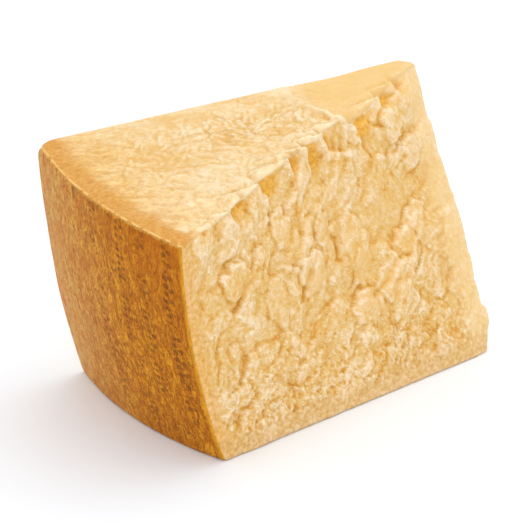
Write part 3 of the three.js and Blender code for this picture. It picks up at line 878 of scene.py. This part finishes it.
# Colours of the cut top.
CUT = (srgb(225, 181, 108), srgb(239, 219, 180))
CUT_GOLD = (srgb(211, 152, 60), srgb(240, 202, 130))
CUT_TIP = srgb(233, 194, 125)
CUT_DOT = srgb(246, 226, 186)
# Cream on the near ridge and on crests: paler paste and painted highlight.
RIDGE_CREAM = srgb(248, 230, 192)
TAN = (srgb(200, 134, 40), srgb(217, 158, 64))
RIM_GOLD = srgb(248, 208, 132)

# Noises that the whole paste shares, as scale, detail and roughness.
BROAD_NOISE = (60, 3.0, 0.55)
SMALL_NOISE = (560, 4.0, 0.65)
# Bands end along a line that wanders by two noises, each a scale and a spread in millimetres.
EDGE_NOISES = ((70, 8), (400, 3))
# Stacked flakes: the detail, roughness and distortion of their noise, and the parts of a step that
# are its pale rim, a painted highlight, and its dark foot, a painted shade.
FLAKE_NOISE = (2.5, 0.5, 0.5)
FLAKE_RIM = (0.72, 0.98)
FLAKE_FOOT = (0.02, 0.3)
# Two sizes on the broken faces, which lean and are drawn out, and one on the top: scale and count.
FLAKE_LEAN = 0.9
FLAKE_SQUASH = 0.6
WIDE_FLAKES = (75, 6)
FINE_FLAKES = (210, 4)
CUT_FLAKES = (120, 6)
# Streaks of the cut are drawn out along the near ridge, which is turned by this angle.
CUT_TURN = 0.684
CUT_SQUASH = 0.45
STREAK_NOISE = (330, 4.0, 0.6, 0.8)
# Patches of noise: a scale, the two values between which they set in, and for the ridge its detail.
# Pits lie where their patches are not.
PIT_PATCHES = (210, 0.3, 0.4)
CRUMB_PATCHES = (160, 0.5, 0.62)
SPUR_PATCHES = (150, 0.42, 0.58)
RIDGE_PATCHES = (95, 0.4, 0.6, 3.0)
DOT_PATCHES = (110, 0.46, 0.6)
CREST_PATCHES = (130, 0.38, 0.58)
LINE_PATCHES = (300, 0.38, 0.5)
# Dots: a scale, and the two distances between which they end.
CRUMB_DOTS = (480, 0.08, 0.2)
CUT_DOTS = (410, 0.08, 0.26)

# Heights of rims, swells and pockets in millimetres, over which painted highlight and shade set in.
RIM_TONES = (-0.5, 0.45)
SWELL_TONES = (-1.0, 0.9)
GAP_RIMS = (-0.42, -0.14)
GLOW_RIMS = (0.02, 0.3)
CREST_RIMS = (0.12, 0.5)
DEEP_SWELLS = (-3.0, -1.1)
DEEP_POCKETS = (0.8, 3.2)
# Heights above the base over which colours set in: crumblier paste, the strip at the base, and the top.
CRUMBLY_HEIGHTS = (10, 60)
BASE_STRIP = (5, 12)
TOP_SKIN = (SPAN_HEIGHT - 1.6, SPAN_HEIGHT - 0.3)
# Distances from the rind over which colours set in.
CRUMBLY_SIDE = (20, 80)
DENSE_SIDE = (1, 9)
TIP_STRIP = (142, 154)
GOLD_SIDE = (8, 44)
GOLD_TIP = (104, 118)
DOTS_FROM = (4, 12)
DOTS_TO = (24, 60)
TAN_BAND = (6, 13)
RIM_LINE = (0.3, 1.4)
# The pale ridge of the top, paler paste with painted highlight: where it begins and ends, its width,
# and the reach of its spurs, which shrinks by so much over these distances.
RIDGE_FROM = (5, 9)
RIDGE_TO = (96, 108)
RIDGE_WIDTH = (0, 3)
SPUR_REACH = 16
SPUR_SHRINKS = 9
SPUR_RANGE = (12, 50)


class Paste:
    """What the colours and the relief of the paste read: its measures and the noises they share."""

    def __init__(self, flow):
        self.where = flow.place()
        for name in ("rim", "swell", "rough", "pocket", "plate", "from_rind", "from_near", "height"):
            setattr(self, name, flow.measure(name))
        self.broad = self.where.mottle(*BROAD_NOISE)
        self.small = self.where.mottle(*SMALL_NOISE)
        slow, quick = ((self.where.mottle(scale) - 0.5) * reach for scale, reach in EDGE_NOISES)
        self.edge = slow + quick


def broken_paste(paste):
    """Colour, tone and relief of the broken faces: straw, with cream on what stands out as painted
    highlight and gold in gaps, pits and pockets as painted shade. It is denser beside the rind and along
    the base, and paler at the tip."""
    where, small, from_rind = paste.where, paste.small, paste.from_rind
    tip_strip = (from_rind + paste.edge).between(*TIP_STRIP)
    craggy_share = (paste.rough + tip_strip * 0.6).between(0, 1) * 0.8 + 0.2
    slanted = where.turned(FLAKE_LEAN, "Y_AXIS").stretch(1, 1, FLAKE_SQUASH)
    wide_rim, wide_foot, wide_step = slanted.flakes(*WIDE_FLAKES)
    fine_rim, fine_foot, fine_step = slanted.flakes(*FINE_FLAKES)
    # Pale flake rims are painted highlight and dark flake feet painted shade, over the bumped steps.
    rims = wide_rim * 0.55 + fine_rim * 0.45
    feet = wide_foot * 0.5 + fine_foot * 0.4
    detail = (rims * 0.18 - feet * 0.16) * craggy_share
    # Painted highlight and shade: the tone rises where the surface stands out and falls where it sinks.
    lift = paste.rim.between(*RIM_TONES) * 0.3 + paste.swell.between(*SWELL_TONES) * 0.18
    low_down = 1 - paste.height.between(*CRUMBLY_HEIGHTS)
    crumbly = low_down * 0.5 + (1 - from_rind.between(*CRUMBLY_SIDE)) * 0.35 + 0.7
    tone = lift + 0.18 + detail + (paste.broad - 0.5) * 0.65 + (small - 0.5) * crumbly
    colour = tone.stepped(HOLLOW, PASTE_STEPS)

    # Painted shade in the gaps between shells and in small pits spread by noise.
    gaps = 1 - paste.rim.between(*GAP_RIMS)
    pits = (1 - where.patches(*PIT_PATCHES)) * (low_down * 0.8 + 0.2) * paste.rough
    colour = (gaps * 0.52 + pits * 0.5).between(0, 1).blend(colour, GAP_SHADE_GOLD)
    # Painted golden glow and shade where a plate doesn't stand out.
    glow = paste.plate * (1 - paste.rim.between(*GLOW_RIMS))
    colour = (glow * 0.3).blend(colour, PLATE_GOLD)
    # Painted shade in the pockets under the ridge and where the surface sinks.
    deep = paste.pocket.between(*DEEP_POCKETS) + (1 - paste.swell.between(*DEEP_SWELLS))
    colour = (deep.between(0, 1) * 0.8).blend(colour, small.grained(*AMBER_SHADE))
    crumbs = where.dots(*CRUMB_DOTS) * where.patches(*CRUMB_PATCHES)
    colour = (crumbs * 0.5).blend(colour, CRUMB)

    dense = 1 - (from_rind + paste.edge * 0.7).between(*DENSE_SIDE)
    colour = (dense * 0.68).blend(colour, small.grained(*DENSE))
    colour = (tip_strip * 0.45).blend(colour, TIP_CREAM)
    base = 1 - (paste.height + paste.edge).between(*BASE_STRIP)
    colour = (base * 0.6).blend(colour, small.grained(*BASE_GRAIN))
    relief = (wide_step * 0.8 + fine_step * 0.45) * craggy_share + small
    return colour, tone, relief


def pale_ridge(paste):
    """Where the top is pale along the near ridge, partly paler paste and partly painted highlight, with
    spurs that reach in from it.
    """
    reach = SPUR_REACH - paste.from_rind.between(*SPUR_RANGE) * SPUR_SHRINKS
    spurs = paste.where.patches(*SPUR_PATCHES) * reach
    ridge = 1 - (paste.from_near - spurs).between(*RIDGE_WIDTH)
    ridge = ridge * (paste.from_rind + paste.edge * 0.5).between(*RIDGE_FROM)
    ridge = ridge * (1 - paste.from_rind.between(*RIDGE_TO))
    return ridge * (paste.where.patches(*RIDGE_PATCHES) * 0.75 + 0.25)


def cut_paste(paste):
    """Colour and relief of the cut top: creamy and streaked, golden toward the rind and the tip, with
    pale dots, a pale ridge, painted highlight on its crests, and a tan band with a thin golden line
    beside the rind."""
    where, small, edge, from_rind = paste.where, paste.small, paste.edge, paste.from_rind
    level = where.turned(CUT_TURN, "Z_AXIS").stretch(CUT_SQUASH, 1, 1)
    streaks = level.mottle(*STREAK_NOISE)
    scale_rim, scale_foot, scale_step = level.flakes(*CUT_FLAKES)
    # Painted highlight and shade: creamier where the top stands out, pale flake rims and dark flake feet.
    patch = (where.mottle(26) - 0.5) * 0.7 + (paste.broad - 0.5) * 0.5 + paste.rim * 0.6
    cream = streaks * 0.4 + small * 0.35 + patch + scale_rim * 0.07 - scale_foot * 0.08 + 0.02
    colour = cream.between(0.16, 0.66).blend(*CUT)
    golden = 1 - (from_rind + edge * 1.5).between(*GOLD_SIDE)
    streaked = (streaks * 0.7 + small * 0.3).between(0.36, 0.62).blend(*CUT_GOLD)
    colour = (golden * 0.7).blend(colour, streaked)
    colour = (from_rind.between(*GOLD_TIP) * 0.85).blend(colour, CUT_TIP)
    dots = where.dots(*CUT_DOTS) * where.patches(*DOT_PATCHES)
    dotted = (from_rind + edge).between(*DOTS_FROM) * (1 - (from_rind + edge).between(*DOTS_TO))
    colour = (dots * dotted * 0.6).blend(colour, CUT_DOT)

    ridge = pale_ridge(paste)
    # Painted highlight on crests, added to the ridge's paler paste and painted highlight.
    crest = paste.rim.between(*CREST_RIMS) * (where.patches(*CREST_PATCHES) * 0.6 + 0.4)
    colour = ((crest + ridge * 0.8).between(0, 1) * 0.85).blend(colour, RIDGE_CREAM)
    band = 1 - (from_rind + edge * 0.8).between(*TAN_BAND)
    colour = (band * (1 - ridge * 0.8) * 0.95).blend(colour, small.grained(*TAN))
    rim_line = 1 - (from_rind + (small - 0.5) * 1.5).between(*RIM_LINE)
    colour = (rim_line * where.patches(*LINE_PATCHES) * 0.8).blend(colour, RIM_GOLD)
    return colour, (streaks * 1.5 + scale_step) * (1 - band)


def paste_material():
    """Crumbly paste: the broken faces, and the creamier cut top over them."""
    material, shader, flow = start_material(
        "hard cheese paste",
        Subsurface_Weight=0.45,
        Subsurface_Radius=(1.0, 0.7, 0.4),
        Subsurface_Scale=0.0016,
        Specular_IOR_Level=0.35,
    )
    paste = Paste(flow)
    broken, tone, broken_relief = broken_paste(paste)
    cut, cut_relief = cut_paste(paste)
    top = paste.height.between(*TOP_SKIN)
    colour = (top * 0.9).blend(broken, cut)
    relief = broken_relief + top * cut_relief
    bump = flow.node("ShaderNodeBump", None, Strength=0.6, Distance=0.0006, Height=relief)
    gloss = 0.62 - tone.between(0.2, 0.9) * 0.12
    plug(flow, shader, Base_Color=colour, Roughness=gloss, Normal=bump)
    return material


# Colours of the rind, from its creases up to its crests, which paint shade in the creases and
# highlight on the crests over its own streaked tone, and by the far edge.
RIND_BROWN = srgb(168, 88, 2)
RIND_ORANGE = srgb(212, 122, 0)
RIND_GOLD = srgb(252, 174, 34)
RIND_STEPS = ((0.15, 0.46, RIND_ORANGE), (0.46, 0.85, RIND_GOLD))
RIND_FAR = (srgb(250, 146, 46), srgb(255, 214, 124))
RIND_NEAR_TOP = srgb(214, 116, 0)
RIND_PIN = srgb(136, 74, 14)
RIND_LIT_EDGE = srgb(255, 178, 44)
RIND_NICK = srgb(120, 64, 12)
RIND_TOP_EDGE = srgb(246, 184, 88)
# Noises of the rind, as scale, detail, roughness and distortion. All but the first are drawn out
# upright, by the share that stands before these.
RIND_BROAD = (38, 3.0, 0.55)
RIND_STREAK = (0.4, 560, 3.0, 0.6, 1.2)
RIND_WIDE_STREAK = (0.3, 280, 3.0, 0.6, 0.8)
RIND_FINE = (0.6, 1300, 3.0, 0.7)
CREASE_TURN = 0.2
RIND_CREASE = (0.32, 260, 2.0, 0.5, 0.8)
# A crease lies where its noise is near its middle: the square of how far it may be off.
CREASE_WIDTH = (0, 0.005)
# Patches with a nick in them, drawn out upright, and patches that keep their pin dots.
NICK_SQUASH = 0.12
NICK_PATCHES = (170, 0.62, 0.68)
PIN_PATCHES = (110, 0.42, 0.54)
# Distances from the near edge, and heights, over which its colours set in.
FAR_PART = (30, 95)
NEAR_PART = (8, 45)
NEAR_PART_HEIGHTS = (55, 110)
LIT_EDGE = (0.7, 2.4)
NICK_HEIGHTS = (99, 105)
TOP_EDGE = (SPAN_HEIGHT - 1.6, SPAN_HEIGHT - 0.6)
PIN_HEIGHTS = (6, 12)
# Upright columns of worn pin dots: distance from the near edge, pitch, half width and half height.
PIN_COLUMNS = (
    (49, 3.4, 0.8, 0.6),
    (46.5, 5.1, 0.8, 0.6),
    (33, 3.1, 0.9, 0.7),
    (30.5, 4.7, 0.9, 0.7),
    (22, 3.3, 1.0, 0.8),
    (19.5, 5.3, 1.0, 0.8),
    (9, 3.6, 1.1, 0.9),
    (6.5, 5.9, 1.1, 0.9),
)


def pin_marks(where, across, height):
    """Worn pin dots in upright columns: ellipses, one in each pitch of a column, some of them left
    out by noise."""
    marks = None
    for column, pitch, wide, tall in PIN_COLUMNS:
        x = (across - column) / wide
        z = (((height + column) / pitch).fraction() - 0.5) * pitch / tall
        mark = 1 - (x * x + z * z).between(0.4, 1.6)
        marks = marks.larger(mark) if marks else mark
    return marks * where.patches(*PIN_PATCHES) * height.between(*PIN_HEIGHTS)


def rind_material():
    """Waxy orange-brown rind, streaked and creased upright, with worn pin marks and a few nicks."""
    material, shader, flow = start_material(
        "cheese rind",
        Specular_IOR_Level=0.15,
        Subsurface_Weight=0.1,
        Subsurface_Radius=(1.0, 0.4, 0.12),
        Subsurface_Scale=0.001,
    )
    where, across, height = flow.place(), flow.measure("from_near"), flow.measure("height")
    broad = where.mottle(*RIND_BROAD)
    streak = where.upright(*RIND_STREAK)
    wide_streak = where.upright(*RIND_WIDE_STREAK)
    fine = where.upright(*RIND_FINE)
    off_middle = where.turned(CREASE_TURN, "X_AXIS").upright(*RIND_CREASE) - 0.5
    crease = 1 - (off_middle * off_middle).between(*CREASE_WIDTH)
    # Partly painted: lighter where the streaks raise the bump, darker in the creases, over the rind's own
    # streaks.
    tone = broad * 0.25 + streak * 1.1 + wide_streak * 0.3 + fine * 1.1 - crease * 0.16 - 0.77
    colour = tone.stepped(RIND_BROWN, RIND_STEPS)
    far_colour = tone.between(0.3, 0.8).blend(*RIND_FAR)
    colour = (across.between(*FAR_PART) * 0.7).blend(colour, far_colour)
    near_top = height.between(*NEAR_PART_HEIGHTS) * (1 - across.between(*NEAR_PART))
    colour = (near_top * 0.55).blend(colour, RIND_NEAR_TOP)
    marks = pin_marks(where, across, height)
    colour = (marks * 0.55).blend(colour, RIND_PIN)
    lit_edge = 1 - (across + (fine - 0.5) * 1.5).between(*LIT_EDGE)
    colour = (lit_edge * 0.95).blend(colour, RIND_LIT_EDGE)
    nick = where.stretch(1, 1, NICK_SQUASH).patches(*NICK_PATCHES) * height.between(*NICK_HEIGHTS)
    colour = (nick * 0.7).blend(colour, RIND_NICK)
    top_edge = (height + (fine - 0.5) * 1.2).between(*TOP_EDGE)
    colour = (top_edge * 0.8).blend(colour, RIND_TOP_EDGE)
    relief = streak * 1.4 + wide_streak * 0.7 + fine * 0.6 - crease * 0.45 - marks * 0.7 - nick * 0.6
    bump = flow.node("ShaderNodeBump", None, Strength=1.0, Distance=0.002, Height=relief)
    plug(flow, shader, Base_Color=colour, Roughness=0.45 + streak * 0.15, Normal=bump)
    return material


def add_floor():
    """A plain pale floor, a hair below the base."""
    half = FLOOR_HALF
    mesh = bpy.data.meshes.new("floor")
    corners = [(-half, -half, 0), (half, -half, 0), (half, half, 0), (-half, half, 0)]
    mesh.from_pydata(corners, [], [(0, 1, 2, 3)])
    floor = bpy.data.objects.new("floor", mesh)
    floor.location.z = -FLOOR_GAP
    bpy.context.collection.objects.link(floor)
    material, *_ = start_material("pale floor", Base_Color=FLOOR_COLOUR, Roughness=0.8)
    mesh.materials.append(material)
    return floor


def add_light(name, place, size, power):
    """A round soft light that is aimed at the wedge."""
    light = bpy.data.lights.new(name, "AREA")
    light.shape = "DISK"
    light.size = size
    light.energy = power
    lamp = bpy.data.objects.new(name, light)
    lamp.location = place
    lamp.rotation_euler = (Vector(LIGHTS_AIM) - Vector(place)).to_track_quat("-Z", "Y").to_euler()
    bpy.context.collection.objects.link(lamp)


def add_world():
    """Even white light from all round, shown as it is."""
    world = bpy.data.worlds.new("studio")
    world.use_nodes = True
    background = world.node_tree.nodes["Background"]
    background.inputs["Color"].default_value = (1, 1, 1, 1)
    background.inputs["Strength"].default_value = STUDIO_LIGHT
    bpy.context.scene.world = world
    bpy.context.scene.view_settings.view_transform = "Standard"


def add_camera():
    """The photograph's view: from the left of the near face, 25 degrees above the floor."""
    eye = (np.array(EYE) - (*MIDDLE, 0)) * MM
    ahead = Vector(AHEAD).normalized()
    right = ahead.cross(Vector((0, 0, 1))).normalized()
    over = right.cross(ahead)
    data = bpy.data.cameras.new("camera")
    data.sensor_width = SENSOR
    data.lens = LENS
    data.clip_start = 0.05
    camera = bpy.data.objects.new("camera", data)
    turn = Matrix((right, over, -ahead)).transposed().to_4x4()
    camera.matrix_world = Matrix.Translation(Vector(eye)) @ turn
    bpy.context.collection.objects.link(camera)
    bpy.context.scene.camera = camera


wedge = add_wedge()
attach(wedge, "root")
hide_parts("cheese_wedge")

add_floor()
for row in LIGHTS:
    add_light(*row)
add_world()
add_camera()
